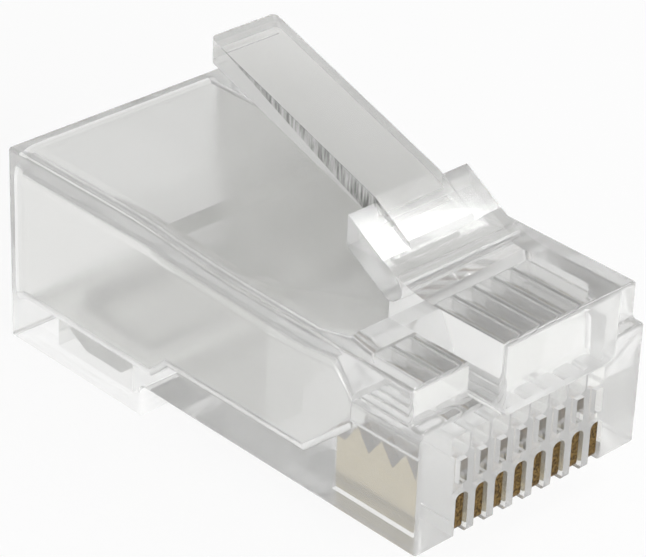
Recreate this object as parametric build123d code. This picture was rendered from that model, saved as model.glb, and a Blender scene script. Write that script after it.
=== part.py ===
from build123d import *
import os
from math import asin, atan2, cos, degrees, radians, sin, tan

# A clear eight-way modular plug: a moulded housing, its sprung latch and eight stamped contacts.
# X runs from the cable end to the nose, Y across the plug and Z up to the latch. Lengths along X
# are counted from the cable end while modelling. The finished pieces are then moved so that the
# origin lies under the middle of the plug, on the plane of the rear underside.

# Body, in millimetres
body_width = 11.68
body_length = 23.0
rear_length = 8.05
rear_height = 8.58
underside_step = 1.37
nose_height = 6.8
slope_start = 6.5
slope_run = 7.5
ledge_height = 5.28
ledge_depth = 0.55
body_round = 0.15

# Cable cavity
side_wall = 0.92
floor_wall = 1.65
roof_wall = 1.08
nose_floor_wall = 1.13
floor_rise_run = 0.9
end_ramp_run = 2.1
end_wall_run = 0.8
cavity_corner = 0.5
mouth_flare = 0.35

# Cable anchor, a bar moulded into the floor on a thin web
anchor_rear_land = 1.9
anchor_front_land = 1.6
anchor_width = 6.4
anchor_gap = 0.3
anchor_web = 0.45
anchor_inset = 0.25
anchor_chamfer = 1.06
anchor_ridge = 0.6
anchor_ridge_top = 0.85
anchor_ridge_fall = 1.28

# Contacts and the wire channels above them
contact_count = 8
contact_pitch = 1.02
blade_thickness = 0.42
blade_length = 4.45
blade_height = 3.08
blade_recess = 0.1
blade_setback = 0.6
blade_clearance = 0.04
toe_setback = 0.12
toe_round = 0.3
toe_clearance = 0.08
post_drop = 0.15
prong_height = 0.85
prong_count = 3
prong_shoulder = 0.4
wire_width = 0.92
wire_corner = 0.2
wire_gap = 0.1
wire_entry_height = 1.5
wire_entry_reach = 0.8
slot_lead = 0.58
slot_flare = 0.06
nose_window_height = 1.83
nose_window_width = 0.64
nose_window_corner = 0.25
nose_bridge = 0.42
nose_slit_height = 1.02
nose_slit_width = 0.38

# Latch root block on the nose
root_width = 6.1
root_rise = 1.48
root_drop = 1.65
root_overhang = 1.1
root_corner = 0.55
root_round = 0.22

# Latch and the living hinge at its root
hinge_setback = 4.6
hinge_drop = 0.2
hinge_radius = 0.55
hinge_clearance = 0.04
sweep_radius = 5.0
wing_angle = 30.4
wing_reach = 2.27
lever_reach = 11.35
lever_width = 3.3
lever_angle = 18.6
lever_thickness = 0.92
lever_tip_round = 0.25
rib_setback = 2.35
rib_front = 0.55
rib_height = 0.16
rib_foot = 0.35
lip_radius = 0.34
lip_drop = 0.12

# Places worked out from the sizes above
front_top = underside_step + nose_height
ledge_z = underside_step + ledge_height
root_top = front_top + root_rise
root_bottom = front_top - root_drop
root_front = body_length + root_overhang
upper_nose = body_length - ledge_depth
hinge_x = body_length - hinge_setback
hinge_z = root_top - hinge_drop
blade_front = body_length - blade_setback
blade_rear = blade_front - blade_length
blade_bottom = underside_step + blade_recess
blade_top = blade_bottom + blade_height
wire_axis = blade_top + wire_gap + wire_width / 2
slot_width = blade_thickness + 2 * blade_clearance
slot_rear = blade_rear - blade_clearance
slot_front = blade_front + blade_clearance
window_top = underside_step + nose_window_height
slit_bottom = window_top + nose_bridge
toe_front = body_length - toe_setback
toe_top = window_top - toe_clearance
row_width = (contact_count - 1) * contact_pitch + wire_width
entry_end = slot_rear + wire_entry_reach
cavity_width = body_width - 2 * side_wall
rear_roof = rear_height - roof_wall
nose_roof = front_top - roof_wall
nose_floor = underside_step + nose_floor_wall
narrow_width = row_width + 2 * wire_gap
wing_slope = radians(wing_angle)
wing_half = hinge_radius / cos(wing_slope)
sweep_corner = hinge_x + (wing_half - hinge_drop) / tan(wing_slope)
sweep_x = sweep_corner + sweep_radius * tan(wing_slope / 2)
part_x = hinge_x + hinge_radius * sin(wing_slope)
part_slope = asin((sweep_x - part_x) / sweep_radius)
past = 1.0
to_row_frame = Location((-root_front / 2, 0, 0))


def side_face(edges):
    """A face in the plug's side view, from edges drawn with X across and Z up."""
    return Plane.XZ * make_face(edges)


def prism(edges, width):
    """A side view carried across the plug, half of the width to each side of its middle."""
    return extrude(side_face(edges), amount=width / 2, both=True)


def block(x0, x1, width, z0, z1, y=0.0):
    """A plain box between two lengths and two heights, centred across the plug at y."""
    place = Location(((x0 + x1) / 2, y, (z0 + z1) / 2))
    return place * Box(x1 - x0, width, z1 - z0)


def rounded_section(x, width, low, high, corner, y=0.0):
    """A rounded rectangle that stands across the plug at length x, between two heights."""
    plane = Plane((x, y, (low + high) / 2), x_dir=(0, 1, 0), z_dir=(1, 0, 0))
    return plane * RectangleRounded(width, high - low, corner)


def contact_places():
    """The place across the plug of every contact, from the left side to the right."""
    first = -(contact_count - 1) / 2 * contact_pitch
    return [first + i * contact_pitch for i in range(contact_count)]


def outer_body():
    """The stepped outside of the plug, with a top that falls gently towards the nose."""
    half_run = slope_start + slope_run / 2
    half_drop = (rear_height + front_top) / 2
    flat_x = slope_start + slope_run
    fall = TangentArc((slope_start, rear_height), (half_run, half_drop), tangent=(1, 0))
    level = TangentArc((flat_x, front_top), (half_run, half_drop), tangent=(-1, 0))
    outline = [
        Polyline(
            (flat_x, front_top),
            (upper_nose, front_top),
            (upper_nose, ledge_z),
            (body_length, ledge_z),
            (body_length, underside_step),
            (rear_length, underside_step),
            (rear_length, 0),
            (0, 0),
            (0, rear_height),
            (slope_start, rear_height),
        ),
        fall,
        level,
    ]
    body = prism(outline, body_width)
    return fillet(body.edges(), body_round)


def sweep_point(slope):
    """The point of the hollow sweep between root block and wing where it has this slope."""
    return (sweep_x - sweep_radius * sin(slope), root_top + sweep_radius * (1 - cos(slope)))


def hinge_point(radius, angle):
    """A point at a radius and an angle round the hinge, in the plug's side view."""
    return (hinge_x + radius * cos(angle), hinge_z + radius * sin(angle))


def wing_line(x, side):
    """The wing's top (side 1) or underside (side -1) at length x, as a point in the side view."""
    return (x, hinge_z + (hinge_x - x) * tan(wing_slope) + side * wing_half)


def part_angle():
    """The angle round the hinge at which the latch parts from its root block."""
    x, z = sweep_point(part_slope)
    return atan2(z - hinge_z, x - hinge_x)


def latch_root_block():
    """The block on the nose that carries the latch, with a half-round seat for its hinge."""
    seat = hinge_radius + hinge_clearance
    lip_angle = part_angle() - asin(hinge_clearance / seat)
    lip_slope = part_slope - hinge_clearance / sweep_radius
    outline = [
        Line((hinge_x, front_top - past), hinge_point(seat, radians(-90))),
        ThreePointArc(
            hinge_point(seat, radians(-90)),
            hinge_point(seat, (lip_angle + radians(-90)) / 2),
            hinge_point(seat, lip_angle),
        ),
        Line(hinge_point(seat, lip_angle), sweep_point(lip_slope)),
        ThreePointArc(sweep_point(lip_slope), sweep_point(lip_slope / 2), sweep_point(0)),
        Polyline(
            sweep_point(0),
            (root_front, root_top),
            (root_front, root_bottom),
            (hinge_x, root_bottom),
            (hinge_x, front_top - past),
        ),
    ]
    shape = prism(outline, root_width)
    front = shape.faces().sort_by(Axis.X)[-1]
    low_corners = front.edges().sort_by(Axis.Z)[0].vertices()
    long_edges = [
        edge
        for edge in shape.edges().filter_by(Axis.X)
        if any(abs(edge.center().Z - corner.Z) < 1e-6 for corner in low_corners)
    ]
    shape = fillet(long_edges, root_corner)
    rim = shape.faces().sort_by(Axis.X)[-1].edges()
    return fillet(rim, root_round)


def cavity_sections():
    """The cavity's sections from the cable end to the wire channels."""
    rise_end = rear_length + floor_rise_run
    rise_roof = rear_roof + (nose_roof - rear_roof) * (rise_end - slope_start) / slope_run
    ramp_foot = entry_end - end_ramp_run
    wall_foot = entry_end - end_wall_run
    entry_low = wire_axis - wire_entry_height / 2
    share = (wall_foot - ramp_foot) / end_ramp_run
    wall_low = nose_floor + (entry_low - nose_floor) * share
    wall_width = cavity_width + (narrow_width - cavity_width) * share
    return [
        rounded_section(-past, cavity_width, floor_wall, rear_roof, cavity_corner),
        rounded_section(rear_length, cavity_width, floor_wall, rear_roof, cavity_corner),
        rounded_section(rise_end, cavity_width, nose_floor, rise_roof, cavity_corner),
        rounded_section(ramp_foot, cavity_width, nose_floor, nose_roof, cavity_corner),
        rounded_section(wall_foot, wall_width, wall_low, nose_roof, cavity_corner),
        rounded_section(entry_end, narrow_width, entry_low, entry_low + wire_entry_height, cavity_corner),
    ]


def cable_cavity():
    """The hollow that takes the cable, with a steep ramp up to the wire channels at its end."""
    hollow = loft(cavity_sections(), ruled=True)
    flare = loft(
        [
            rounded_section(
                -mouth_flare,
                cavity_width + 2 * mouth_flare,
                floor_wall - mouth_flare,
                rear_roof + mouth_flare,
                cavity_corner + mouth_flare,
            ),
            rounded_section(mouth_flare, cavity_width, floor_wall, rear_roof, cavity_corner),
        ]
    )
    return hollow + flare


def wire_channel(y):
    """A blind channel with rounded corners that leads one wire over its contact."""
    low = wire_axis - wire_width / 2
    start = rounded_section(entry_end - past, wire_width, low, low + wire_width, wire_corner, y)
    return extrude(start, amount=slot_front - entry_end + past)


def contact_slot(y):
    """The slot that holds one contact, its lead-in, its window in the nose and the slit above."""
    below = underside_step - past
    slot = block(slot_rear, slot_front, slot_width, below, wire_axis, y)
    lead = block(
        slot_rear - slot_flare,
        slot_front,
        slot_width + 2 * slot_flare,
        below,
        underside_step + slot_lead,
        y,
    )
    window = extrude(
        rounded_section(blade_front, nose_window_width, below, window_top, nose_window_corner, y),
        amount=blade_setback + past,
    )
    slit = block(
        blade_front,
        body_length + past,
        nose_slit_width,
        slit_bottom,
        slit_bottom + nose_slit_height,
        y,
    )
    return slot + lead + window + slit


def anchor_window():
    """The opening in the floor of the rear section around the cable anchor."""
    return block(
        anchor_rear_land,
        rear_length - anchor_front_land,
        anchor_width + 2 * anchor_gap,
        -past,
        floor_wall + anchor_ridge,
    )


def anchor_bar():
    """The wedge that is pressed up into the cable, hanging on a thin web at its front edge."""
    rear = anchor_rear_land + anchor_gap
    front = rear_length - anchor_front_land
    heel = front - anchor_chamfer
    ridge_end = rear + anchor_ridge_top
    outline = Polyline(
        (front + anchor_web, floor_wall),
        (front + anchor_web, floor_wall - anchor_web),
        (heel + anchor_web, floor_wall - anchor_web),
        (heel, anchor_inset),
        (rear + anchor_chamfer, anchor_inset),
        (rear, floor_wall / 2),
        (rear, floor_wall + anchor_ridge),
        (ridge_end, floor_wall + anchor_ridge),
        (ridge_end + anchor_ridge_fall, floor_wall),
        (front + anchor_web, floor_wall),
    )
    return prism([outline], anchor_width)


def housing():
    """The clear moulding without its latch."""
    shape = outer_body() + latch_root_block()
    shape -= cable_cavity()
    shape -= anchor_window()
    shape += anchor_bar()
    for y in contact_places():
        shape -= wire_channel(y)
        shape -= contact_slot(y)
    return shape


def latch_wing():
    """The wide root of the latch: an arm with a round end on the hinge, cut off square behind."""
    stop_x = hinge_x - wing_reach
    under = wing_slope - radians(90)
    outline = [
        ThreePointArc(
            hinge_point(hinge_radius, -radians(180) - under),
            hinge_point(hinge_radius, -wing_slope),
            hinge_point(hinge_radius, part_angle()),
        ),
        Line(hinge_point(hinge_radius, part_angle()), sweep_point(part_slope)),
        ThreePointArc(
            sweep_point(part_slope),
            sweep_point((part_slope + wing_slope) / 2),
            sweep_point(wing_slope),
        ),
        Polyline(
            sweep_point(wing_slope),
            wing_line(stop_x, 1),
            wing_line(stop_x, -1),
            hinge_point(hinge_radius, -radians(180) - under),
        ),
    ]
    return prism(outline, root_width)


def latch_lever():
    """The finger lever, which runs over the wing as a low rib and ends in a rounded lip."""
    slope = tan(radians(lever_angle))
    rib_x = hinge_x - rib_setback
    rib_z = wing_line(rib_x, 1)[1] + rib_height
    front_x, front_z = wing_line(hinge_x - rib_front, 1)
    foot_x, foot_z = wing_line(front_x + rib_height, 1)
    tip_x = hinge_x - lever_reach
    tip_z = rib_z + (rib_x - tip_x) * slope
    drop = lever_thickness / cos(radians(lever_angle))
    outline = Polyline(
        (tip_x, tip_z),
        (rib_x, rib_z),
        (front_x, front_z + rib_height),
        (foot_x, foot_z),
        (foot_x - rib_foot, foot_z - rib_foot),
        (rib_x, rib_z - drop),
        (tip_x, tip_z - drop),
        (tip_x, tip_z),
    )
    lever = prism([outline], lever_width)
    corners = [edge for edge in lever.edges().filter_by(Axis.Z) if edge.center().X < tip_x + past]
    lever = fillet(corners, lever_tip_round)
    lip_z = tip_z - drop - lip_drop + lip_radius
    lip = Pos(tip_x + lip_radius, 0, lip_z) * Rot(90, 0, 0) * Cylinder(
        lip_radius, lever_width - 2 * lever_tip_round
    )
    return lever + lip


def latch():
    """The sprung latch: wings with square stop shoulders, and the lever that releases it."""
    return latch_wing() + latch_lever()


def contact(y):
    """One stamped blade: a rounded toe in the nose window, a post and pointed prongs under its wire."""
    shoulder = blade_top - prong_height
    post_rear = blade_front - prong_shoulder
    prong_from = blade_rear + prong_shoulder
    prong_step = (post_rear - prong_from) / prong_count
    teeth = []
    for i in range(prong_count):
        start = prong_from + i * prong_step
        teeth += [(start, shoulder), (start + prong_step / 2, blade_top)]
    toe_middle = toe_round * (1 - cos(radians(45)))
    outline = [
        Polyline(
            (toe_front - toe_round, blade_bottom),
            (blade_rear, blade_bottom),
            (blade_rear, shoulder),
            *teeth,
            (post_rear, shoulder),
            (post_rear, blade_top - post_drop),
            (blade_front, blade_top - post_drop),
            (blade_front, toe_top),
            (toe_front, toe_top),
            (toe_front, blade_bottom + toe_round),
        ),
        ThreePointArc(
            (toe_front, blade_bottom + toe_round),
            (toe_front - toe_middle, blade_bottom + toe_middle),
            (toe_front - toe_round, blade_bottom),
        ),
    ]
    return Pos(0, y, 0) * prism(outline, blade_thickness)


pieces = {"housing": housing(), "latch": latch()}
for number, place in enumerate(contact_places(), start=1):
    pieces[f"contact_{number}"] = contact(place)

os.makedirs("parts", exist_ok=True)
for name, piece in pieces.items():
    export_step(to_row_frame * piece, f"parts/{name}.step")
    print(name, round(piece.volume, 3))
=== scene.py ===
# %% [markdown]
# # A clear modular plug
# The plug is a single clear moulding with a springy latch and eight stamped contacts in its nose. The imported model
# already holds every piece at its real size, and could be remodelled here by hand, but a second copy would only
# drift from the first. So this lesson dresses the model as it is: a camera, the finishes and a plain studio.

# %% Load the frame
import bpy
import numpy as np
from mathutils import Matrix, Vector

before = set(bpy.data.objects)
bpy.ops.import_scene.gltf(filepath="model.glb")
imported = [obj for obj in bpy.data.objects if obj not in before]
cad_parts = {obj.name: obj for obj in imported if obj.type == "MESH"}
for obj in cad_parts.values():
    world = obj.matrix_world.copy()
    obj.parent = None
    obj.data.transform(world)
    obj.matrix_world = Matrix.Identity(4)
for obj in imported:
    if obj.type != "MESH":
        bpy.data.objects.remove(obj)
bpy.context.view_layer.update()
MM = 0.001

# %% [markdown]
# ## Colours
# A paint chart gives colours as sRGB hex values, but shaders work in linear light. The numbers could be converted by
# hand, once each. One function keeps the chart's values readable in the script.

# %% Colours from hex values
def linear(hex_colour):
    """A colour as (r, g, b, 1) in linear light: each channel c becomes ((c + 0.055) / 1.055) ** 2.4.

    Channels of 0.04045 and less are divided by 12.92 instead.
    """
    srgb = np.array([int(hex_colour[i:i + 2], 16) for i in (1, 3, 5)]) / 255
    dark = srgb / 12.92
    bright = ((srgb + 0.055) / 1.055) ** 2.4
    return (*np.where(srgb <= 0.04045, dark, bright), 1.0)


WHITE = linear("#FFFFFF")
print("white in linear light", WHITE)

# %% [markdown]
# ## Nodes
# A material is a small network of nodes. Each could be added and wired in four or five lines. One function does all
# of it: it takes the kind of node, the node's own settings, and a value or a link for each input. An input is named
# by its label, or by its number with a line in front, because a Mix node has several inputs with the same label.

# %% One function that adds a node
def add_node(tree, kind, settings=None, **inputs):
    """Adds a node, sets its own properties, and fills each named input with a value or a link."""
    node = tree.nodes.new(kind)
    for key, value in (settings or {}).items():
        setattr(node, key, value)
    for key, value in inputs.items():
        socket = node.inputs[int(key[1:])] if key[1:].isdigit() else node.inputs[key.replace("_", " ")]
        if isinstance(value, bpy.types.NodeSocket):
            tree.links.new(value, socket)
        else:
            socket.default_value = value
    return node


def new_material(name):
    """An empty node material and its tree."""
    material = bpy.data.materials.new(name)
    material.use_nodes = True
    material.node_tree.nodes.clear()
    return material, material.node_tree


print("nodes are added by", add_node.__name__)

# %% [markdown]
# ## The camera
# The photograph looks down on the nose from its left, from far enough that the edges stay almost parallel. A camera
# could be pushed about until the picture looks right. Here the angles, the place and the lens come from fitting the
# plug's corners to the picture, so the outlines agree to a few pixels. Three directions make the camera's turn: back
# towards the viewer, right and up, and the last two are rolled a little, because the photograph is.

# %% Camera at the photograph's angle
CAMERA_AZIMUTH = 45.46  # degrees
CAMERA_ELEVATION = 30.17
CAMERA_ROLL = -2.25
CAMERA_PLACE = Vector((71.00, -70.04, 63.78)) * MM
FOCAL_PIXELS = 3024
IMAGE_WIDTH = 646  # pixels
SENSOR = 36.0  # mm, as Blender counts a sensor
NEAREST = 5 * MM

azimuth, elevation, roll = np.radians([CAMERA_AZIMUTH, CAMERA_ELEVATION, CAMERA_ROLL])
back = Vector((np.cos(elevation) * np.sin(azimuth), -np.cos(elevation) * np.cos(azimuth), np.sin(elevation)))
level_right = Vector((0, 0, 1)).cross(back).normalized()
level_up = back.cross(level_right)
right = level_right * np.cos(roll) - level_up * np.sin(roll)
up = level_up * np.cos(roll) + level_right * np.sin(roll)
lens = bpy.data.cameras.new("photo_camera")
lens.sensor_width = SENSOR
lens.lens = SENSOR * FOCAL_PIXELS / IMAGE_WIDTH
lens.clip_start = NEAREST
camera = bpy.data.objects.new("photo_camera", lens)
camera.matrix_world = Matrix.Translation(CAMERA_PLACE) @ Matrix((right, up, back)).transposed().to_4x4()
bpy.context.scene.collection.objects.link(camera)
bpy.context.scene.camera = camera
print("lens", round(lens.lens, 1), "mm,", round(CAMERA_PLACE.length / MM), "mm from the plug's foot")

# %% [markdown]
# ## Where the moulding is frosted
# The outside of the tool is polished, so the outside of the plug is glossy. The steel core that forms the cable
# cavity is taken to be only spark-eroded, which leaves a fine frost on the cavity's walls. Two materials could be
# given out face by face, but the model's faces come from model.glb and are left alone. A box in Object coordinates
# does the same: what lies inside it is cavity wall.

# %% A box that marks the cavity
CAVITY_LOW = np.array((-11.9, -5.3, 1.45)) * MM
CAVITY_HIGH = np.array((2.6, 5.3, 7.9)) * MM


def inside_box(tree, place, low, high):
    """A socket that is 1 inside a box: every |p - middle| - half has to be below zero."""
    middle = tuple((low + high) / 2)
    half = tuple((high - low) / 2)
    moved = add_node(tree, "ShaderNodeVectorMath", {"operation": "SUBTRACT"}, _0=place, _1=middle)
    folded = add_node(tree, "ShaderNodeVectorMath", {"operation": "ABSOLUTE"}, _0=moved.outputs[0])
    past = add_node(tree, "ShaderNodeVectorMath", {"operation": "SUBTRACT"}, _0=folded.outputs[0], _1=half)
    axes = add_node(tree, "ShaderNodeSeparateXYZ", Vector=past.outputs[0])
    wide = add_node(tree, "ShaderNodeMath", {"operation": "MAXIMUM"}, _0=axes.outputs[0], _1=axes.outputs[1])
    most = add_node(tree, "ShaderNodeMath", {"operation": "MAXIMUM"}, _0=wide.outputs[0], _1=axes.outputs[2])
    return add_node(tree, "ShaderNodeMath", {"operation": "LESS_THAN"}, _0=most.outputs[0], _1=0.0).outputs[0]


print("frosted cavity", ((CAVITY_HIGH - CAVITY_LOW) / MM).round(1), "mm")

# %% [markdown]
# ## The lever's underside
# The lever looks even all along, with no clear view of the body behind it, so its underside is taken to be matt. The
# direction that a face looks in could pick the underside out, but a ray that leaves the plastic meets a face from
# behind, and is then given the direction turned round. So a second box holds the lever, and what lies below the
# lever's middle is its underside. Faces that look sideways are told by direction after all, because left and right
# count alike.

# %% Half of the lever, without its sides
LEVER_LOW = np.array((-5.2, -1.7, 8.7)) * MM
LEVER_HIGH = np.array((4.3, 1.7, 15.0)) * MM
LEVER_SLOPE = 0.3365  # fall per length towards the nose
LEVER_MIDDLE = 12.49 * MM  # height of the lever's middle plane over the origin
SIDE_FACING = 0.9


def height_over_slant(tree, place, slope):
    """A socket with a point's height over a slant through the origin: z + slope * x."""
    slant = (slope, 0, 1)
    return add_node(
        tree, "ShaderNodeVectorMath", {"operation": "DOT_PRODUCT"}, _0=place, _1=slant
    ).outputs["Value"]


def looks_sideways(tree, coordinates, least):
    """A socket that is 1 on faces that look left or right: |y| of their direction is more than least."""
    facing = add_node(tree, "ShaderNodeSeparateXYZ", Vector=coordinates["Normal"])
    across = add_node(tree, "ShaderNodeMath", {"operation": "ABSOLUTE"}, _0=facing.outputs["Y"])
    side = add_node(tree, "ShaderNodeMath", {"operation": "GREATER_THAN"}, _0=across.outputs[0], _1=least)
    return side.outputs[0]


def lever_underside(tree, coordinates):
    """A socket that is 1 on the lever's underside: in its box, below its middle, and not on a side."""
    place = coordinates["Object"]
    height = height_over_slant(tree, place, LEVER_SLOPE)
    below = add_node(tree, "ShaderNodeMath", {"operation": "LESS_THAN"}, _0=height, _1=LEVER_MIDDLE)
    lever = inside_box(tree, place, LEVER_LOW, LEVER_HIGH)
    half = add_node(tree, "ShaderNodeMath", {"operation": "MULTIPLY"}, _0=below.outputs[0], _1=lever)
    side = looks_sideways(tree, coordinates, SIDE_FACING)
    flat = add_node(tree, "ShaderNodeMath", {"operation": "SUBTRACT"}, _0=1.0, _1=side)
    return add_node(
        tree, "ShaderNodeMath", {"operation": "MULTIPLY"}, _0=half.outputs[0], _1=flat.outputs[0]
    ).outputs[0]


print("lever's box", ((LEVER_HIGH - LEVER_LOW) / MM).round(1), "mm")

# %% [markdown]
# ## Painted shade on the lever
# In the photograph a dark wedge of fine upright lines runs along the lever's left side, from a point at the tip to
# the whole side at the root. It is shade in the clear lever, and here it is painted as a dark tint in stripes. It is
# not cut as grooves, which would cost a great many faces. A stretched noise pattern draws the painted stripes, as
# coarse as they need to be to show. One slanted line cuts the wedge off, and a thin box keeps the painted shade on
# the left side.

# %% Painted shade on the lever's left side
LEFT_SIDE_HIGH = np.array((4.3, -1.6, 15.0)) * MM
WEDGE_SLOPE = 0.451  # fall per length towards the nose
WEDGE_FROM = 12.46 * MM  # height of the wedge's lower edge over the origin
# The stripe sizes below shape painted shade: dark upright stripes on the lever's left side.
SHADE_STRIPE_WIDTH = 0.12 * MM
SHADE_STRIPE_STRETCH = 8.0
SHADE_STRIPE_DETAIL = 2.0
FAINTEST_SHADE = 0.2  # strength of the faintest line
MIDDLE_NOISE = (0.35, 0.65)  # the middle of a noise's range, for strong contrast


# Painted shade: a darker tint in upright stripes where the clear lever shows shade.
def painted_shade_stripes(tree, coordinates):
    """A socket with the lever's painted shade, in upright stripes, and 0 elsewhere: side x box x wedge x stripe
    depth.
    """
    place = coordinates["Object"]
    left = inside_box(tree, place, LEVER_LOW, LEFT_SIDE_HIGH)
    height = height_over_slant(tree, place, WEDGE_SLOPE)
    over = add_node(tree, "ShaderNodeMath", {"operation": "GREATER_THAN"}, _0=height, _1=WEDGE_FROM)
    sideways = looks_sideways(tree, coordinates, SIDE_FACING)
    side = add_node(tree, "ShaderNodeMath", {"operation": "MULTIPLY"}, _0=sideways, _1=left)
    wedge = add_node(tree, "ShaderNodeMath", {"operation": "MULTIPLY"}, _0=side.outputs[0], _1=over.outputs[0])
    line_scale = (1 / SHADE_STRIPE_WIDTH, 1 / SHADE_STRIPE_WIDTH, 1 / (SHADE_STRIPE_WIDTH * SHADE_STRIPE_STRETCH))
    upright = add_node(tree, "ShaderNodeMapping", Vector=place, Scale=line_scale)
    lines = add_node(tree, "ShaderNodeTexNoise", Vector=upright.outputs["Vector"], Scale=1.0, Detail=SHADE_STRIPE_DETAIL)
    shade_depth = add_node(
        tree,
        "ShaderNodeMapRange",
        Value=lines.outputs["Fac"],
        From_Min=MIDDLE_NOISE[0],
        From_Max=MIDDLE_NOISE[1],
        To_Min=FAINTEST_SHADE,
        To_Max=1.0,
    )
    drawn = add_node(
        tree, "ShaderNodeMath", {"operation": "MULTIPLY"}, _0=wedge.outputs[0], _1=shade_depth.outputs["Result"]
    )
    return drawn.outputs[0]


# Prints the stripe width of the painted shade.
print("tool lines", round(SHADE_STRIPE_WIDTH / MM, 2), "mm apart")

# %% [markdown]
# ## Gloss in streaks
# Melt flows along the plug and freezes in long faint streaks, so the gloss varies in streaks. One roughness all over
# would look like glass. Here a noise pattern, stretched along the plug, moves each zone over a range of its own: the
# polished outside, the frosted cavity and the lever's matt underside. A frosted range that reached 0.30 left faint
# rings in the denoised picture, so it ends at 0.27.

# %% Roughness of the moulding
POLISHED_ROUGHNESS = (0.03, 0.10)
FROSTED_ROUGHNESS = (0.20, 0.27)
MATT_ROUGHNESS = (0.45, 0.60)
FLOW_WIDTH = 1.6 * MM
FLOW_STRETCH = 5.0
FLOW_DETAIL = 3.0
WIDE_NOISE = (0.2, 0.8)  # almost all of a noise's range, for slow changes


def streaked(tree, noise, low, high):
    """A socket that runs from low to high as a noise runs over its usual range."""
    spread = add_node(
        tree,
        "ShaderNodeMapRange",
        Value=noise,
        From_Min=WIDE_NOISE[0],
        From_Max=WIDE_NOISE[1],
        To_Min=low,
        To_Max=high,
    )
    return spread.outputs["Result"]


def moulded_roughness(tree, place, frost, underside):
    """A socket with the roughness at a place: the range of its zone, followed along the flow's streaks."""
    flow_scale = (1 / (FLOW_WIDTH * FLOW_STRETCH), 1 / FLOW_WIDTH, 1 / FLOW_WIDTH)
    along = add_node(tree, "ShaderNodeMapping", Vector=place, Scale=flow_scale)
    noise = add_node(tree, "ShaderNodeTexNoise", Vector=along.outputs["Vector"], Scale=1.0, Detail=FLOW_DETAIL)
    flow = noise.outputs["Fac"]
    moulded = add_node(
        tree,
        "ShaderNodeMix",
        {"data_type": "FLOAT"},
        _0=frost,
        _2=streaked(tree, flow, *POLISHED_ROUGHNESS),
        _3=streaked(tree, flow, *FROSTED_ROUGHNESS),
    )
    roughness = add_node(
        tree,
        "ShaderNodeMix",
        {"data_type": "FLOAT"},
        _0=underside,
        _2=moulded.outputs[0],
        _3=streaked(tree, flow, *MATT_ROUGHNESS),
    )
    return roughness.outputs[0]


print("flow streaks", round(FLOW_WIDTH / MM, 2), "mm wide,", round(FLOW_WIDTH * FLOW_STRETCH / MM, 2), "mm long")

# %% [markdown]
# ## A faint tint
# A ray loses a little light at each wall it crosses, and the tint says how much. One grey for the whole moulding
# would dull its bright rims as well. So the outside is almost colourless, and only the frosted cavity and the lever's
# underside are greyer. The dark tint in stripes on the lever's left side is painted shade.

# %% Tint of the moulding
CLEAR_TINT = "#FEFEFD"
CAVITY_TINT = "#E9E9E6"
UNDERSIDE_TINT = "#EEEEEB"
# Painted shade: the dark tint of the striped wedge on the lever's left side.
PAINTED_SHADE_TINT = "#6E706C"


def moulded_tint(tree, coordinates, frost, underside):
    """A socket with the tint at a place: clear, then the cavity, the underside and the lever's painted shade laid
    over it.
    """
    clear = add_node(
        tree, "ShaderNodeMix", {"data_type": "RGBA"}, _0=frost, _6=linear(CLEAR_TINT), _7=linear(CAVITY_TINT)
    )
    dulled = add_node(
        tree, "ShaderNodeMix", {"data_type": "RGBA"}, _0=underside, _6=clear.outputs[2], _7=linear(UNDERSIDE_TINT)
    )
    # Lays the painted shade of the lever's left side over the tint.
    shade_laid = add_node(
        tree,
        "ShaderNodeMix",
        {"data_type": "RGBA"},
        _0=painted_shade_stripes(tree, coordinates),
        _6=dulled.outputs[2],
        _7=linear(PAINTED_SHADE_TINT),
    )
    return shade_laid.outputs[2]


print("tints", CLEAR_TINT, CAVITY_TINT, UNDERSIDE_TINT, PAINTED_SHADE_TINT)

# %% [markdown]
# ## Clear polycarbonate
# The housing and its latch are one injection moulding of clear polycarbonate, which bends light more than glass does
# (IOR 1.586). A pure glass shader would be too clear: this plastic is slightly milky. Nearly a quarter of the surface
# is left out of the transmission, and scatters some light back. The walls sink a few thousandths of a millimetre as
# they cool, which bends reflections in slow waves.

# %% Clear polycarbonate, moulded
POLYCARBONATE_IOR = 1.586
TRANSMISSION = 0.77
SINK_WIDTH = 3.5 * MM
SINK_DEPTH = 0.004 * MM
SINK_DETAIL = 0.0


def clear_polycarbonate():
    """Polycarbonate, injection moulded: a polished outside over a spark-eroded cavity, clear but slightly milky."""
    material, tree = new_material("clear_polycarbonate_moulded")
    coordinates = add_node(tree, "ShaderNodeTexCoord").outputs
    place = coordinates["Object"]
    frost = inside_box(tree, place, CAVITY_LOW, CAVITY_HIGH)
    underside = lever_underside(tree, coordinates)
    sink = add_node(tree, "ShaderNodeTexNoise", Vector=place, Scale=1 / SINK_WIDTH, Detail=SINK_DETAIL)
    waves = add_node(tree, "ShaderNodeBump", Strength=1.0, Distance=SINK_DEPTH, Height=sink.outputs["Fac"])
    shader = add_node(
        tree,
        "ShaderNodeBsdfPrincipled",
        Base_Color=moulded_tint(tree, coordinates, frost, underside),
        Roughness=moulded_roughness(tree, place, frost, underside),
        IOR=POLYCARBONATE_IOR,
        Transmission_Weight=TRANSMISSION,
        Normal=waves.outputs["Normal"],
    )
    add_node(tree, "ShaderNodeOutputMaterial", Surface=shader.outputs["BSDF"])
    return material


polycarbonate = clear_polycarbonate()
mouldings = [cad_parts[name] for name in ("housing", "latch")]
for node in mouldings:
    node.data.materials.clear()
    node.data.materials.append(polycarbonate)
print(polycarbonate.name, "on", [node.name for node in mouldings])

# %% [markdown]
# ## Punched strip
# The blades are punched out of bronze strip that already has a flash of gold over nickel. So the flat sides are
# pale gold with the fine lines of the rolled strip, and the punched edges show bare bronze, brown and torn. Two
# materials would need faces to be chosen. One colour that changes with the direction of the face does as well. The
# real rolling lines and torn grain are far finer, and are drawn as coarse as they need to be to show in the picture.

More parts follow.
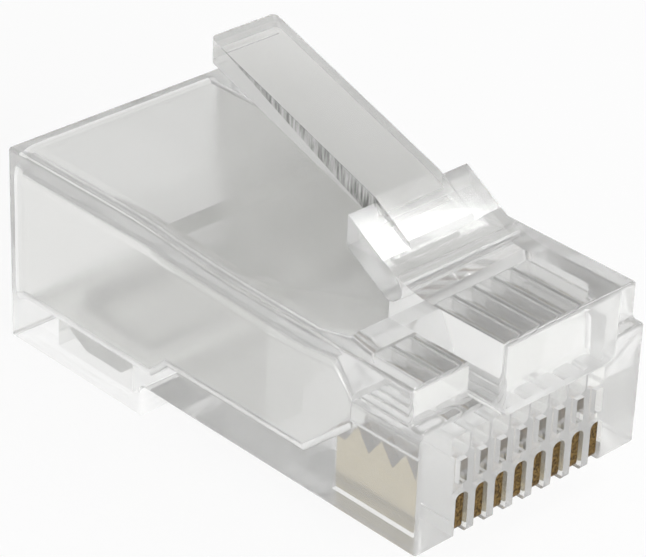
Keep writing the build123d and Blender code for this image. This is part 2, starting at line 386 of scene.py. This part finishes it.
# %% Colour of the punched strip
ROLLING_LINE = 0.12 * MM
ROLLING_STRETCH = 30.0
ROLLING_DETAIL = 2.0
TORN_GRAIN = 0.09 * MM
TORN_DETAIL = 3.0
PLATED_DARK = "#C6B480"
PLATED_PALE = "#DCCDA0"
BRONZE_DARK = "#3C2D18"
BRONZE_PALE = "#8C7244"


def punched_strip_colour(tree, place, flat):
    """A socket with the strip's colour: gold along the rolling lines where flat is 1, grainy bronze elsewhere."""
    line_scale = (1 / (ROLLING_LINE * ROLLING_STRETCH), 1 / ROLLING_LINE, 1 / ROLLING_LINE)
    along = add_node(tree, "ShaderNodeMapping", Vector=place, Scale=line_scale)
    lines = add_node(tree, "ShaderNodeTexNoise", Vector=along.outputs["Vector"], Scale=1.0, Detail=ROLLING_DETAIL)
    grain = add_node(tree, "ShaderNodeTexNoise", Vector=place, Scale=1 / TORN_GRAIN, Detail=TORN_DETAIL)
    torn = add_node(
        tree,
        "ShaderNodeMapRange",
        Value=grain.outputs["Fac"],
        From_Min=MIDDLE_NOISE[0],
        From_Max=MIDDLE_NOISE[1],
    )
    plated = add_node(
        tree,
        "ShaderNodeMix",
        {"data_type": "RGBA"},
        _0=lines.outputs["Fac"],
        _6=linear(PLATED_DARK),
        _7=linear(PLATED_PALE),
    )
    bronze = add_node(
        tree,
        "ShaderNodeMix",
        {"data_type": "RGBA"},
        _0=torn.outputs["Result"],
        _6=linear(BRONZE_DARK),
        _7=linear(BRONZE_PALE),
    )
    colour = add_node(
        tree, "ShaderNodeMix", {"data_type": "RGBA"}, _0=flat, _6=bronze.outputs[2], _7=plated.outputs[2]
    )
    return colour.outputs[2]


print("rolling lines", round(ROLLING_LINE / MM, 2), "mm apart, torn grain", round(TORN_GRAIN / MM, 2), "mm")

# %% [markdown]
# ## Plated contacts
# Gold flash on rolled strip is satin, and a torn edge is duller. Polishing the whole blade would turn its edges into
# mirrors, so the roughness changes with the colour. The strip stands upright along the plug, and its flat sides are
# those that look left and right.

# %% Gold flash on bronze strip, punched
FLAT_FACING = 0.7
TORN_ROUGHNESS = 0.48
PLATED_ROUGHNESS = 0.24


def gold_flash():
    """Gold flash on bronze strip: satin gold sides with rolling lines, and brown, grainy punched edges."""
    material, tree = new_material("gold_flash_on_bronze_strip_punched")
    coordinates = add_node(tree, "ShaderNodeTexCoord").outputs
    flat = looks_sideways(tree, coordinates, FLAT_FACING)
    roughness = add_node(
        tree, "ShaderNodeMapRange", Value=flat, To_Min=TORN_ROUGHNESS, To_Max=PLATED_ROUGHNESS
    )
    shader = add_node(
        tree,
        "ShaderNodeBsdfPrincipled",
        Base_Color=punched_strip_colour(tree, coordinates["Object"], flat),
        Metallic=1.0,
        Roughness=roughness.outputs["Result"],
    )
    add_node(tree, "ShaderNodeOutputMaterial", Surface=shader.outputs["BSDF"])
    return material


gold = gold_flash()
contacts = [node for name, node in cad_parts.items() if name.startswith("contact_")]
for node in contacts:
    node.data.materials.clear()
    node.data.materials.append(gold)
print(gold.name, "on", len(contacts), "contacts")

# %% [markdown]
# ## A white table
# The plug was photographed on white. White could come from very strong lamps, but they would bleach the plastic too.
# So the card mixes in a plain white of strength 1 for rays that come from the camera, or that metal and clear plastic
# send on, and stays matt card for all other light. The rest of the mix is the card itself, which keeps the plug's
# soft shadow.

# %% White table
CARD = "#FCFCFC"
PAPER_SHARE = 0.9
FLOOR_SIZE = 4.0  # metres


def seen_directly(tree):
    """A socket that is 1 for rays from the camera and for those that metal and clear plastic send on."""
    path = add_node(tree, "ShaderNodeLightPath").outputs
    gloss = add_node(
        tree, "ShaderNodeMath", {"operation": "MAXIMUM"}, _0=path["Is Camera Ray"], _1=path["Is Glossy Ray"]
    )
    clear = add_node(
        tree, "ShaderNodeMath", {"operation": "MAXIMUM"}, _0=gloss.outputs[0], _1=path["Is Transmission Ray"]
    )
    return clear.outputs[0]


def white_table():
    """Matt white card, shown as white paper with the plug's soft shadow still on it."""
    material, tree = new_material("matt_white_card")
    card = add_node(tree, "ShaderNodeBsdfDiffuse", Color=linear(CARD))
    paper = add_node(tree, "ShaderNodeEmission", Color=WHITE, Strength=1.0)
    share = add_node(tree, "ShaderNodeMath", {"operation": "MULTIPLY"}, _0=seen_directly(tree), _1=PAPER_SHARE)
    both = add_node(
        tree, "ShaderNodeMixShader", _0=share.outputs[0], _1=card.outputs["BSDF"], _2=paper.outputs["Emission"]
    )
    add_node(tree, "ShaderNodeOutputMaterial", Surface=both.outputs["Shader"])
    return material


corners = np.array([(-1, -1, 0), (1, -1, 0), (1, 1, 0), (-1, 1, 0)]) * FLOOR_SIZE / 2
floor_mesh = bpy.data.meshes.new("table")
floor_mesh.from_pydata(corners.tolist(), [], [(0, 1, 2, 3)])
floor_mesh.materials.append(white_table())
floor = bpy.data.objects.new("table", floor_mesh)
bpy.context.scene.collection.objects.link(floor)
print("table", FLOOR_SIZE, "m wide")

# %% [markdown]
# ## The sky
# Clear plastic has no colour of its own to show, so what stands round it decides how it looks. An even white sky
# would wash its edges out. This one is white round the table and falls off to a darker ceiling, so the walls show
# white and the faces that look up mirror something darker. The height of the direction sets the strength.

# %% Sky, darker overhead
WHITE_SURROUND = 0.87
CEILING = 0.27
CEILING_FROM = 0.35  # height of the direction: 0 level, 1 straight up
CEILING_TO = 0.6


def studio_sky():
    """A sky whose strength eases from WHITE_SURROUND to CEILING as the direction climbs."""
    world = bpy.data.worlds.new("studio_sky")
    world.use_nodes = True
    tree = world.node_tree
    tree.nodes.clear()
    direction = add_node(tree, "ShaderNodeTexCoord").outputs["Generated"]
    height = add_node(tree, "ShaderNodeSeparateXYZ", Vector=direction).outputs["Z"]
    strength = add_node(
        tree,
        "ShaderNodeMapRange",
        {"interpolation_type": "SMOOTHSTEP"},
        Value=height,
        From_Min=CEILING_FROM,
        From_Max=CEILING_TO,
        To_Min=WHITE_SURROUND,
        To_Max=CEILING,
    )
    sky = add_node(tree, "ShaderNodeBackground", Color=WHITE, Strength=strength.outputs["Result"])
    add_node(tree, "ShaderNodeOutputWorld", Surface=sky.outputs["Background"])
    return world


bpy.context.scene.world = studio_sky()
print("sky from", WHITE_SURROUND, "down to", CEILING)

# %% [markdown]
# ## Softboxes
# Two rectangular lamps shape the plug. A narrow strip stands where the slope at the latch's root mirrors it into the
# camera, and draws the white highlight there. It could be a wide lamp, but that would whiten the whole lever. A low
# one in front lights the nose, whose many small walls would otherwise look grey.

# %% Softboxes
STRIP_PLACE = (0.070, 0.245, 0.316)  # places and sizes in metres
STRIP_SIZE = (0.031, 0.30)
STRIP_WATTS = 0.30
FRONT_PLACE = (0.30, -0.08, 0.10)
FRONT_SIZE = (0.25, 0.15)
FRONT_WATTS = 1.05


def softbox(name, place, size, watts):
    """A rectangular lamp that looks at the plug from its place."""
    lamp = bpy.data.lights.new(name, "AREA")
    lamp.shape = "RECTANGLE"
    lamp.size, lamp.size_y = size
    lamp.energy = watts
    light = bpy.data.objects.new(name, lamp)
    light.location = Vector(place)
    light.rotation_mode = "QUATERNION"
    light.rotation_quaternion = light.location.to_track_quat("Z", "Y")
    bpy.context.scene.collection.objects.link(light)
    print(name, watts, "W at", round(light.location.length, 2), "m")


softbox("strip_softbox", STRIP_PLACE, STRIP_SIZE, STRIP_WATTS)
softbox("front_softbox", FRONT_PLACE, FRONT_SIZE, FRONT_WATTS)

# %% [markdown]
# ## Light paths
# A ray that enters the nose crosses many clear walls before it leaves. With the usual few bounces it would be
# stopped inside and the plastic would turn black, so the limits are raised. The Standard view shows colours as they
# are written.

# %% Bounces and view
CLEAR_BOUNCES = 60
MATT_BOUNCES = 16

cycles = bpy.context.scene.cycles
cycles.max_bounces = CLEAR_BOUNCES
cycles.transmission_bounces = CLEAR_BOUNCES
cycles.glossy_bounces = CLEAR_BOUNCES
cycles.diffuse_bounces = MATT_BOUNCES
bpy.context.scene.view_settings.view_transform = "Standard"
print("up to", CLEAR_BOUNCES, "bounces in clear walls")
